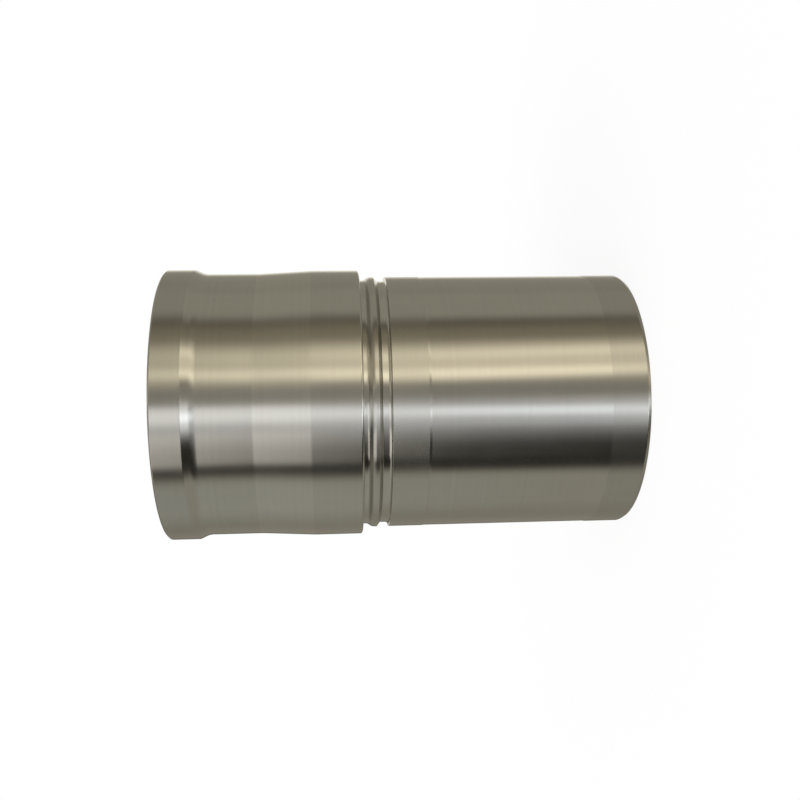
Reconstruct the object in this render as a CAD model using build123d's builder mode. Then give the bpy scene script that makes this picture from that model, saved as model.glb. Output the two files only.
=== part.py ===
from build123d import *
from math import radians, tan
import os

# A wet cylinder liner with its stop shoulder near mid-height: one turned iron casting.
# It stands on its skirt end, with its axis on Z and the fire deck flange at the top.
# All sizes are in millimetres. Depths are measured down from the top face.

# Bore, wall and length
bore_diameter = 137.0
skirt_wall = 6.5
overall_length = 268.0

# How far each land stands out from the land beside it, measured on the radius
pilot_rise = 0.2
seat_width = 3.95
waist_relief = 1.65
flange_lip = 2.5

# Fire deck flange and its sloping neck, whose angle is taken from the axis
flange_height = 16.7
flange_edge = 1.0
neck_angle = 23.5
neck_blend = 12.0

# Stop shoulder, the band above it and the taper that leads up to the waist
seat_depth = 112.2
seat_band_height = 27.9
seat_corner = 1.5
taper_height = 30.8

# Two seal grooves below the shoulder, with one ridge between them. Angles are taken from the axis.
upper_groove_depth = 1.9
upper_floor_width = 2.9
upper_ramp_angle = 35.0
upper_ramp_blend = 3.0
groove_root = 0.4
ridge_width = 2.85
ridge_crown = 2.0
lower_groove_depth = 2.5
lower_wall_angle = 52.0
lower_floor_width = 5.05
lower_blend = 2.0

# Pilot band below the grooves and a second one at the skirt end, each with a sloping run-out to the skirt
pilot_height = 20.85
end_band_height = 20.7
band_run_out = 1.2

# Edges of the two end faces
rim_chamfer = 1.0
bore_top_chamfer = 0.8
bore_lead_in = 1.5
foot_chamfer_height = 2.0
foot_chamfer_width = 1.2

# Radii of the lands and groove floors, worked outward from the bore
bore_radius = bore_diameter / 2
skirt_radius = bore_radius + skirt_wall
pilot_radius = skirt_radius + pilot_rise
seat_radius = pilot_radius + seat_width
waist_radius = seat_radius - waist_relief
flange_radius = waist_radius + flange_lip
upper_floor_radius = pilot_radius - upper_groove_depth
lower_floor_radius = pilot_radius - lower_groove_depth


def slope_run(rise, angle):
    """Axial length of a slope that rises this far, at this angle to the axis."""
    return rise / tan(radians(angle))


# Heights above the skirt end, worked outward from the stop shoulder
seat_z = overall_length - seat_depth
band_top_z = seat_z + seat_band_height
taper_top_z = band_top_z + taper_height
flange_z = overall_length - flange_height
neck_z = flange_z - slope_run(flange_lip, neck_angle)
upper_ramp_z = seat_z - upper_floor_width
ridge_top_z = upper_ramp_z - slope_run(upper_groove_depth, upper_ramp_angle)
ridge_bottom_z = ridge_top_z - ridge_width
lower_floor_z = ridge_bottom_z - slope_run(lower_groove_depth, lower_wall_angle)
pilot_z = lower_floor_z - lower_floor_width
skirt_z = pilot_z - pilot_height


def corner(radius, height):
    """The corner at this place in the section that is being drawn."""
    return vertices().sort_by_distance((radius, height))[0]


with BuildPart() as cylinder_liner:
    # Outer form, from the skirt end up to the fire deck
    with BuildSketch(Plane.XZ):
        with BuildLine():
            Polyline(
                (0, 0),
                (pilot_radius, 0),
                (pilot_radius, end_band_height),
                (skirt_radius, end_band_height + band_run_out),
                (skirt_radius, skirt_z),
                (pilot_radius, skirt_z + band_run_out),
                (pilot_radius, seat_z),
                (seat_radius, seat_z),
                (seat_radius, band_top_z),
                (waist_radius, taper_top_z),
                (waist_radius, neck_z),
                (flange_radius, flange_z),
                (flange_radius, overall_length),
                (0, overall_length),
                close=True,
            )
        make_face()
        fillet(corner(flange_radius, flange_z), flange_edge)
        fillet(corner(waist_radius, neck_z), neck_blend)
        fillet(corner(seat_radius, seat_z), seat_corner)
    revolve(axis=Axis.Z)

    # Seal grooves: the upper one runs from the shoulder to a ramp up the ridge, and the lower one from
    # a sloping wall to a round that rises square to the pilot band. The cut runs out past the lands,
    # which it leaves alone.
    with BuildSketch(Plane.XZ):
        with BuildLine():
            Polyline(
                (seat_radius, seat_z),
                (upper_floor_radius, seat_z),
                (upper_floor_radius, upper_ramp_z),
                (pilot_radius, ridge_top_z),
                (pilot_radius, ridge_bottom_z),
                (lower_floor_radius, lower_floor_z),
                (lower_floor_radius, pilot_z),
                (seat_radius, pilot_z),
                close=True,
            )
        make_face()
        fillet(corner(upper_floor_radius, seat_z), groove_root)
        fillet(corner(upper_floor_radius, upper_ramp_z), upper_ramp_blend)
        fillet(corner(pilot_radius, ridge_top_z), ridge_crown)
        fillet(corner(lower_floor_radius, lower_floor_z), groove_root)
        fillet(corner(lower_floor_radius, pilot_z), lower_blend)
    revolve(axis=Axis.Z, mode=Mode.SUBTRACT)

    # Straight bore, with a chamfer for the rings at the top and a lead-in at the skirt end
    Hole(bore_radius)
    top_rims = edges().group_by(Axis.Z)[-1].sort_by(SortBy.RADIUS)
    chamfer(top_rims[0], bore_top_chamfer)
    chamfer(top_rims[-1], rim_chamfer)
    foot_face = faces().sort_by(Axis.Z)[0]
    foot_rims = foot_face.edges().sort_by(SortBy.RADIUS)
    chamfer(foot_rims[0], bore_lead_in)
    chamfer(foot_rims[-1], foot_chamfer_width, foot_chamfer_height, reference=foot_face)

os.makedirs("parts", exist_ok=True)
cylinder_liner.part.label = "cylinder_liner"
export_step(cylinder_liner.part, "parts/cylinder_liner.step")
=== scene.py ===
import math
import bpy
import bmesh
from mathutils import Matrix, Vector


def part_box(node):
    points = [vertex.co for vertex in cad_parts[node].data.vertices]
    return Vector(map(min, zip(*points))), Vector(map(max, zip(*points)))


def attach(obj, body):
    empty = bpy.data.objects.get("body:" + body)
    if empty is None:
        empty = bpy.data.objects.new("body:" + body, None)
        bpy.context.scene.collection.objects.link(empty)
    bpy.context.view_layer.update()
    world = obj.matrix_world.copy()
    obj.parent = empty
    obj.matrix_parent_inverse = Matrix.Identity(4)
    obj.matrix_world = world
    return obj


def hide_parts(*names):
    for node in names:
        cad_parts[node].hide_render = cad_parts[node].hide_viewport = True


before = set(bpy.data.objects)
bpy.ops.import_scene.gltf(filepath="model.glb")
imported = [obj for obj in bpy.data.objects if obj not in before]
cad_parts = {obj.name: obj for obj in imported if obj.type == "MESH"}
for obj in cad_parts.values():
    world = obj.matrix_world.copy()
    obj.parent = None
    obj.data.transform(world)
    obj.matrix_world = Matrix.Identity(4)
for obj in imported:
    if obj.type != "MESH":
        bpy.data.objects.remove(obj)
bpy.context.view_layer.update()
mm = 0.001


class Wire:
    # one socket of a node tree, for use in sums; it also makes the next node
    def __init__(self, tree, socket=None):
        self.tree = tree
        self.socket = socket

    def node(self, kind, settings=None, values=None, output=0):
        made = self.tree.nodes.new(kind)
        for name, value in (settings or {}).items():
            setattr(made, name, value)
        for name, value in (values or {}).items():
            if isinstance(value, Wire):
                self.tree.links.new(value.socket, made.inputs[name])
            else:
                made.inputs[name].default_value = value
        return Wire(self.tree, made.outputs[output] if made.outputs else None)

    def output(self, name):
        return Wire(self.tree, self.socket.node.outputs[name])

    def math(self, operation, first=0.0, second=0.0):
        return self.node("ShaderNodeMath", {"operation": operation}, {0: first, 1: second})

    def ease(self, low, high):
        # 0 up to low, 1 from high on
        return self.node("ShaderNodeMapRange", {"interpolation_type": "SMOOTHSTEP"},
                         {"Value": self, "From Min": low, "From Max": high, "To Min": 0.0, "To Max": 1.0})

    def scaled(self, colour):
        return self.node("ShaderNodeVectorMath", {"operation": "SCALE"}, {0: colour, "Scale": self})

    def __add__(self, other):
        return self.math("ADD", self, other)

    def __radd__(self, other):
        return self.math("ADD", other, self)

    def __sub__(self, other):
        return self.math("SUBTRACT", self, other)

    def __rsub__(self, other):
        return self.math("SUBTRACT", other, self)

    def __mul__(self, other):
        return self.math("MULTIPLY", self, other)

    def __rmul__(self, other):
        return self.math("MULTIPLY", other, self)


def newMaterial(name):
    material = bpy.data.materials.new(name)
    material.use_nodes = True
    material.node_tree.nodes.clear()
    return material, Wire(material.node_tree)


def addObject(name, bm, material):
    mesh = bpy.data.meshes.new(name)
    bm.to_mesh(mesh)
    bm.free()
    made = bpy.data.objects.new(name, mesh)
    bpy.context.scene.collection.objects.link(made)
    mesh.materials.append(material)
    return made


# Radii are in mm from the axis and the others in mm down from the top face, unless a name says more.
liner = {
    "boreRadius": 68.5,
    "skirtRadius": 75.0,
    "pilotRadius": 75.2,
    "seatRadius": 79.15,
    "waistRadius": 77.5,
    "flangeRadius": 80.0,
    "upperFloorRadius": 73.3,
    "lowerFloorRadius": 72.7,
    "flangeEnd": 16.7,
    "neckEnd": 22.25,
    "waistEnd": 53.5,
    "taperEnd": 84.3,
    "seat": 112.2,
    "upperFloorEnd": 115.1,
    "ridgeTop": 117.81,
    "ridgeBottom": 120.66,
    "lowerFloor": 122.62,
    "pilot": 127.67,
    "pilotEnd": 147.32,
    "endBandHeight": 20.7,
    "bandRunOut": 1.2,
    "rimChamfer": 1.0,
    "boreTopChamfer": 0.8,
    "boreLeadIn": 1.5,
    "footChamferHeight": 2.0,
    "footChamferWidth": 1.2,
    "segmentsAround": 256,
    "smoothUpTo": 22,  # degrees between two faces, past which their edge is sharp
}


def sectionCorners(top):
    s = liner
    # radius, height, length of the rounding along each side, steps in the rounding
    return [
        (s["boreRadius"], s["boreLeadIn"], 0, 0),
        (s["boreRadius"] + s["boreLeadIn"], 0, 0.15, 2),
        (s["pilotRadius"] - s["footChamferWidth"], 0, 0.2, 3),
        (s["pilotRadius"], s["footChamferHeight"], 0.3, 3),
        (s["pilotRadius"], s["endBandHeight"], 0, 0),
        (s["skirtRadius"], s["endBandHeight"] + s["bandRunOut"], 0, 0),
        (s["skirtRadius"], top - s["pilotEnd"] - s["bandRunOut"], 0.15, 2),
        (s["pilotRadius"], top - s["pilotEnd"], 0.15, 2),
        (s["pilotRadius"], top - s["pilot"], 0.1, 2),
        (s["lowerFloorRadius"], top - s["pilot"], 2.0, 10),
        (s["lowerFloorRadius"], top - s["lowerFloor"], 0.2, 3),
        (s["pilotRadius"], top - s["ridgeBottom"], 0.12, 3),
        (s["pilotRadius"], top - s["ridgeTop"], 1.2, 8),
        (s["upperFloorRadius"], top - s["upperFloorEnd"], 0.95, 6),
        (s["upperFloorRadius"], top - s["seat"], 0.4, 5),
        (s["seatRadius"], top - s["seat"], 1.5, 10),
        (s["seatRadius"], top - s["taperEnd"], 0.8, 3),
        (s["waistRadius"], top - s["waistEnd"], 0.8, 3),
        (s["waistRadius"], top - s["neckEnd"], 2.0, 10),
        (s["flangeRadius"], top - s["flangeEnd"], 0.21, 5),
        (s["flangeRadius"], top - s["rimChamfer"], 0.12, 2),
        (s["flangeRadius"] - s["rimChamfer"], top, 0.12, 2),
        (s["boreRadius"] + s["boreTopChamfer"], top, 0.1, 2),
        (s["boreRadius"], top - s["boreTopChamfer"], 0, 0),
    ]


def drawSection(bm, corners, along):
    points = [bm.verts.new((radius * mm, 0, height * mm)) for radius, height, rounding, steps in corners]
    for first, second in zip(points, points[1:] + points[:1]):
        bm.edges.new((first, second))
    for point, (radius, height, rounding, steps) in zip(points, corners):
        if rounding:
            bmesh.ops.bevel(bm, geom=[point], affect="VERTICES", offset_type="OFFSET", offset=rounding * mm,
                            segments=steps, profile=0.5, material=-1)
    # each point gets how far along the section it lies, as a share of the whole
    point = points[0]
    travelled, last = 0, min(point.link_edges, key=lambda edge: edge.other_vert(point).co.z)
    while point is not points[0] or not travelled:
        point[along] = travelled
        travelled += last.calc_length()
        point = last.other_vert(point)
        last = [edge for edge in point.link_edges if edge is not last][0]
    for point in bm.verts:
        point[along] /= travelled


def unwrap(bm, along):
    uv = bm.loops.layers.uv.new("OFBake")
    for face in bm.faces:
        for loop in face.loops:
            co = loop.vert.co
            loop[uv].uv = (math.atan2(co.y, co.x) / (2 * math.pi) % 1, loop.vert[along])
        for axis in (0, 1):
            values = [loop[uv].uv[axis] for loop in face.loops]
            if max(values) - min(values) > 0.5:
                for loop in face.loops:
                    if loop[uv].uv[axis] < 0.5:
                        loop[uv].uv[axis] += 1


def buildLiner(top):
    bm = bmesh.new()
    along = bm.verts.layers.float.new("along")
    drawSection(bm, sectionCorners(top), along)
    bmesh.ops.spin(bm, geom=bm.verts[:] + bm.edges[:], cent=(0, 0, 0), axis=(0, 0, 1), dvec=(0, 0, 0),
                   angle=2 * math.pi, steps=liner["segmentsAround"], use_merge=True, use_duplicate=False)
    bmesh.ops.recalc_face_normals(bm, faces=bm.faces[:])
    unwrap(bm, along)
    for face in bm.faces:
        face.smooth = True
    for edge in bm.edges:
        edge.smooth = edge.calc_face_angle(0) < math.radians(liner["smoothUpTo"])
    body = addObject("cylinderLiner", bm, ironMaterial(top))
    weigh = body.modifiers.new("weightedNormal", "WEIGHTED_NORMAL")
    weigh.mode = "FACE_AREA"
    weigh.keep_sharp = True
    return body


finish = {
    "iron": (0.56, 0.55, 0.52),
    "anisotropy": 0.80,
    # each band down the outside: where it ends, how rough it is and how light
    "bands": {
        "flange": {"end": 16.8, "roughness": 0.25, "shade": 0.96},
        "neck": {"end": 22.6, "roughness": 0.21, "shade": 1.0},
        "waist": {"end": 53.5, "roughness": 0.24, "shade": 1.01},
        "taper": {"end": 84.3, "roughness": 0.24, "shade": 1.07},
        "seatBand": {"end": 111.4, "roughness": 0.24, "shade": 1.01},
        "upperFloor": {"end": 115.4, "roughness": 0.17, "shade": 1.0},
        "ridge": {"end": 121.0, "roughness": 0.24, "shade": 0.97},
        "lowerFloor": {"end": 127.67, "roughness": 0.17, "shade": 1.02},
        "pilot": {"end": 147.3, "roughness": 0.27, "shade": 1.0},
        "skirt": {"end": 246.7, "roughness": 0.22, "shade": 1.0},
        "endBand": {"end": 300.0, "roughness": 0.26, "shade": 0.93},
    },
    "bandFade": 0.15,  # mm to each side of a band's end
    # fades are in mm, out from the bore and in from the end faces; the hatch has so many lines around,
    # at this angle to the level
    "bore": {"roughness": 0.30, "shade": 0.95, "fade": (0.7, 0.9),
             "hatchAngle": 30, "hatchLines": 180, "hatchDepth": 0.0008, "hatchShade": 0.02},
    "ends": {"roughness": 0.30, "shade": 1.0, "fade": (0.05, 0.15)},
    # turning lines: how many to the mm, how deep in mm and how much they shade
    "lines": {"scale": 0.45, "fineScale": 1.3, "depth": 0.0015, "shade": 0.05},
    "mottle": {"scale": 60.0, "shade": 0.06, "roughness": 0.04},
    "streaks": {"scale": 160.0, "stretch": 0.05, "shade": 0.07, "roughness": 0.03},
}


def ironMaterial(top):
    bore, ends, turning, mottled, streaked = (finish[part] for part in ("bore", "ends", "lines", "mottle", "streaks"))
    material, start = newMaterial("machinedIron")
    place = start.node("ShaderNodeTexCoord", output="Object")
    split = start.node("ShaderNodeSeparateXYZ", values={0: place})
    x, y, z = (split.output(name) for name in "XYZ")
    depth = top - z * (1 / mm)
    radius = start.math("SQRT", x * x + y * y) * (1 / mm)
    angle = start.math("ARCTAN2", y, x)

    bands, fade = list(finish["bands"].values()), finish["bandFade"]
    roughness, shade = bands[0]["roughness"], bands[0]["shade"]
    for above, below in zip(bands, bands[1:]):
        step = depth.ease(above["end"] - fade, above["end"] + fade)
        roughness = roughness + step * (below["roughness"] - above["roughness"])
        shade = shade + step * (below["shade"] - above["shade"])

    # turning lines run round the outside and, by radius, round the two ends
    near, far = ends["fade"]
    end = 1 - depth.ease(near, far) * (1 - depth.ease(top - far, top - near))
    along = depth + end * (radius - depth)

    def noise(values, settings=None):
        return start.node("ShaderNodeTexNoise", settings, values) - 0.5  # about zero

    oneWay = {"noise_dimensions": "1D"}
    lines = noise({"W": along * turning["scale"], "Scale": 1.0, "Detail": 2.0}, oneWay)
    fineLines = noise({"W": along * turning["fineScale"], "Scale": 1.0, "Detail": 1.0}, oneWay)
    mottle = noise({"Vector": place, "Scale": mottled["scale"], "Detail": 3.0})
    stretched = start.node("ShaderNodeMapping", values={"Vector": place, "Scale": (1.0, 1.0, streaked["stretch"])})
    streaks = noise({"Vector": stretched, "Scale": streaked["scale"], "Detail": 3.0})

    near, far = (liner["boreRadius"] + width for width in bore["fade"])
    inside = 1 - radius.ease(near, far)
    climb = bore["hatchLines"] / (liner["boreRadius"] * math.tan(math.radians(bore["hatchAngle"])))
    rightHand = start.math("SINE", angle * bore["hatchLines"] + depth * climb)
    leftHand = start.math("SINE", angle * bore["hatchLines"] - depth * climb)
    hatch = rightHand + leftHand

    shade = shade + end * (ends["shade"] - shade)
    shade = shade + lines * turning["shade"] + mottle * mottled["shade"] + streaks * streaked["shade"]
    shade = shade + inside * (bore["shade"] - shade + hatch * bore["hatchShade"])
    roughness = roughness + end * (ends["roughness"] - roughness)
    roughness = roughness + mottle * mottled["roughness"] + streaks * streaked["roughness"]
    roughness = roughness + inside * (bore["roughness"] - roughness)
    height = (1 - inside) * (lines + fineLines) * turning["depth"] + inside * hatch * bore["hatchDepth"]
    bump = start.node("ShaderNodeBump", values={"Strength": 1.0, "Distance": mm, "Height": height})
    shader = start.node("ShaderNodeBsdfPrincipled", values={
        "Base Color": shade.scaled(finish["iron"]), "Metallic": 1.0, "Roughness": roughness,
        "Anisotropic": finish["anisotropy"], "Anisotropic Rotation": 0.25, "Normal": bump})
    start.node("ShaderNodeOutputMaterial", values={"Surface": shader})
    return material


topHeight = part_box("cylinder_liner")[1][2] / mm
body = buildLiner(topHeight)
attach(body, "root")
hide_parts("cylinder_liner")
print("liner modelled")


# The studio's reflections come from a dark tent with panels of light, which only the metal sees.
# Azimuth runs from the camera's side towards +X and elevation up from the level, in degrees.
# Each has a start and an end. Soft and fade are the widths of the fade outside each of them, and slant
# is how much azimuth a panel loses for each degree up. What a panel leaves out is as in plain.
lightTent = {
    "radius": 6.0,
    "segments": 96,
    "rings": 48,
    "cloth": (0.022, 0.020, 0.015),
    "plain": {"elevation": (-90, 90), "fade": (1, 1), "slant": 0},
    "panels": {
        "rightWall": {"azimuth": (83.5, 168), "soft": (12, 14), "slant": 0.1, "colour": (0.30, 0.285, 0.232)},
        "rightWallNear": {"azimuth": (83.5, 106), "soft": (12, 12), "slant": 0.1, "colour": (0.035, 0.033, 0.028)},
        "rearLamp": {"azimuth": (162, 188), "soft": (12, 10), "colour": (0.62, 0.60, 0.54)},
        "leftWall": {"azimuth": (206, 290.5), "soft": (14, 10), "slant": -0.08, "colour": (0.27, 0.255, 0.21)},
        "leftWallNear": {"azimuth": (262, 284), "soft": (34, 16), "colour": (0.062, 0.064, 0.058)},
        "leftWallHigh": {"azimuth": (262, 284), "soft": (34, 16), "elevation": (0, 90), "fade": (10, 1),
                         "colour": (0.04, 0.052, 0.062)},
        "centre": {"azimuth": (1, 16), "soft": (6, 6), "colour": (0.285, 0.27, 0.232)},
        "warmVeil": {"azimuth": (20, 60), "soft": (8, 24), "slant": 0.12, "colour": (0.245, 0.216, 0.155)},
        "warmBroad": {"azimuth": (22, 42), "soft": (6, 15), "elevation": (-90, -2), "fade": (8, 10), "slant": 0.2,
                      "colour": (0.66, 0.60, 0.455)},
        "warmBroadHigh": {"azimuth": (24, 41), "soft": (6, 14), "elevation": (6, 16), "fade": (8, 18),
                          "colour": (0.40, 0.365, 0.28)},
        "warmStripe": {"azimuth": (20.5, 24.5), "soft": (6, 5), "elevation": (-90, -1), "fade": (8, 10),
                       "slant": 0.15, "colour": (0.55, 0.505, 0.39)},
        "warmStripeMid": {"azimuth": (18.5, 22.5), "soft": (4, 4), "elevation": (-12, 0), "fade": (8, 4),
                          "slant": 0.15, "colour": (0.21, 0.195, 0.155)},
        "warmStripeHigh": {"azimuth": (22, 26), "soft": (5, 5), "elevation": (7, 12), "fade": (9, 24),
                           "colour": (0.46, 0.425, 0.345)},
        "warmStripeFar": {"azimuth": (37, 41), "soft": (4, 4), "elevation": (-90, -5), "fade": (8, 20), "slant": 0.3,
                          "colour": (0.30, 0.28, 0.22)},
        "warmHigh": {"azimuth": (25, 60), "soft": (8, 20), "elevation": (50, 90), "fade": (14, 1),
                     "colour": (0.24, 0.22, 0.175)},
        "coolLine": {"azimuth": (-10, -7), "soft": (4, 5), "elevation": (-90, -6), "fade": (8, 13), "slant": -0.1,
                     "colour": (0.70, 0.745, 0.785)},
        "coolShoulder": {"azimuth": (-20, -8), "soft": (7, 6), "elevation": (-90, -8), "fade": (8, 8),
                         "colour": (0.20, 0.215, 0.24)},
        "coolLow": {"azimuth": (-20, -4), "soft": (16, 6), "elevation": (-90, -36), "fade": (8, 12),
                    "colour": (0.72, 0.73, 0.73)},
        "coolBox": {"azimuth": (-11.5, -4), "soft": (10, 4), "elevation": (12, 40), "fade": (18, 20),
                    "colour": (0.87, 0.865, 0.83)},
        "coolTail": {"azimuth": (-12, -6), "soft": (32, 10), "fade": (8, 1), "slant": 0.1,
                     "colour": (0.43, 0.43, 0.43)},
        "coolHigh": {"azimuth": (-46, -26), "soft": (5, 14), "elevation": (18, 80), "fade": (20, 10), "slant": 0.3,
                     "colour": (0.80, 0.77, 0.71)},
        "coolHighNear": {"azimuth": (-26, -19), "soft": (6, 8), "elevation": (10, 60), "fade": (3.5, 20),
                         "colour": (0.18, 0.175, 0.165)},
        "overhead": {"azimuth": (-105, -50), "soft": (15, 12), "elevation": (54, 88), "fade": (12, 2),
                     "colour": (0.32, 0.31, 0.28)},
    },
}


def buildTent():
    material, start = newMaterial("lightTent")
    place = start.node("ShaderNodeTexCoord", output="Object")
    split = start.node("ShaderNodeSeparateXYZ", values={0: place})
    x, y, z = (split.output(name) for name in "XYZ")
    elevation = start.math("ARCTAN2", z, start.math("SQRT", x * x + y * y)) * math.degrees(1)
    glow = lightTent["cloth"]
    for panel in lightTent["panels"].values():
        panel = {**lightTent["plain"], **panel}
        first, last = panel["azimuth"]
        middle, half = math.radians((first + last) / 2), (last - first) / 2
        ahead = x * math.sin(middle) - y * math.cos(middle)
        aside = x * math.cos(middle) + y * math.sin(middle)
        azimuth = start.math("ARCTAN2", aside, ahead) * math.degrees(1) + elevation * panel["slant"]
        before, after = panel["soft"]
        shown = azimuth.ease(-half - before, -half) * (1 - azimuth.ease(half, half + after))
        low, high = panel["elevation"]
        below, above = panel["fade"]
        shown = shown * elevation.ease(low - below, low) * (1 - elevation.ease(high, high + above))
        glow = start.node("ShaderNodeVectorMath", {"operation": "ADD"}, {0: glow, 1: shown.scaled(panel["colour"])})
    light = start.node("ShaderNodeEmission", values={"Color": glow, "Strength": 1.0})
    start.node("ShaderNodeOutputMaterial", values={"Surface": light})
    bm = bmesh.new()
    bmesh.ops.create_uvsphere(bm, u_segments=lightTent["segments"], v_segments=lightTent["rings"],
                              radius=lightTent["radius"])
    shell = addObject("lightTent", bm, material)
    shell.visible_camera = False
    shell.visible_diffuse = False
    shell.visible_transmission = False
    shell.visible_volume_scatter = False
    shell.visible_shadow = False


floor = {
    "size": 5,
    "colour": (0.94, 0.94, 0.94, 1),
    # the camera sees this share of it as plain white, and all of it as white past the fade, in metres out
    "white": 0.88,
    "fade": (0.15, 0.5),
}


def buildFloor():
    material, start = newMaterial("floor")
    place = start.node("ShaderNodeTexCoord", output="Object")
    away = start.node("ShaderNodeVectorMath", {"operation": "LENGTH"}, {0: place}, output="Value")
    seen = start.node("ShaderNodeLightPath", output="Is Camera Ray")
    paper = start.node("ShaderNodeBsdfDiffuse", values={"Color": floor["colour"]})
    white = start.node("ShaderNodeEmission", values={"Color": (1, 1, 1, 1), "Strength": 1.0})
    near, far = floor["fade"]
    share = seen * (floor["white"] + (1 - floor["white"]) * away.ease(near, far))
    both = start.node("ShaderNodeMixShader", values={0: share, 1: paper, 2: white})
    start.node("ShaderNodeOutputMaterial", values={"Surface": both})
    bm = bmesh.new()
    bmesh.ops.create_grid(bm, x_segments=1, y_segments=1, size=floor["size"])
    ground = addObject("floor", bm, material)
    ground.visible_glossy = False


room = {
    "strength": 0.7,  # what the room gives to surfaces that aren't metal
}


def buildWorld():
    world = bpy.data.worlds.new("whiteRoom")
    bpy.context.scene.world = world
    world.use_nodes = True
    world.node_tree.nodes.clear()
    start = Wire(world.node_tree)
    path = start.node("ShaderNodeLightPath", output="Is Camera Ray")
    seen = start.math("MAXIMUM", path, path.output("Is Glossy Ray"))
    seen = start.math("MAXIMUM", seen, path.output("Is Transmission Ray"))
    plain = start.node("ShaderNodeBackground", values={"Color": (1, 1, 1, 1), "Strength": room["strength"]})
    white = start.node("ShaderNodeBackground", values={"Color": (1, 1, 1, 1), "Strength": 1.0})
    both = start.node("ShaderNodeMixShader", values={0: seen, 1: plain, 2: white})
    start.node("ShaderNodeOutputWorld", values={"Surface": both})


# size and place are in metres
lamp = {
    "power": 9.0,
    "size": 1.0,
    "place": (-0.35, -0.5, 1.3),
}


def buildLamp():
    data = bpy.data.lights.new("softLamp", "AREA")
    data.energy = lamp["power"]
    data.size = lamp["size"]
    made = bpy.data.objects.new("softLamp", data)
    bpy.context.scene.collection.objects.link(made)
    made.location = lamp["place"]
    made.rotation_euler = Vector(lamp["place"]).to_track_quat("Z", "Y").to_euler()
    made.visible_glossy = False


buildTent()
buildFloor()
buildWorld()
buildLamp()
print("studio built")


# aside, distance and height are in mm from the foot of the liner's axis, dip and roll in radians
view = {
    "sensor": 36,
    "lens": 41.98,
    "aside": 0.79,
    "distance": 567.9,
    "height": 172.0,
    "dip": 0.0715,
    "roll": 0.01652,
}


def placeCamera():
    data = bpy.data.cameras.new("camera")
    data.sensor_width = view["sensor"]
    data.lens = view["lens"]
    camera = bpy.data.objects.new("camera", data)
    bpy.context.scene.collection.objects.link(camera)
    # the camera is turned on its side, so the liner's top is at its left
    ahead = Vector((0, math.cos(view["dip"]), -math.sin(view["dip"])))
    tilt = Matrix.Rotation(view["roll"], 3, ahead)
    right = tilt @ Vector((0, -math.sin(view["dip"]), -math.cos(view["dip"])))
    up = tilt @ Vector((1, 0, 0))
    turn = Matrix((right, up, -ahead)).transposed().to_4x4()
    place = Vector((view["aside"], -view["distance"], view["height"])) * mm
    camera.matrix_world = Matrix.Translation(place) @ turn
    bpy.context.scene.camera = camera


placeCamera()
bpy.context.scene.view_settings.view_transform = "Standard"
bpy.context.view_layer.update()
print("camera placed")
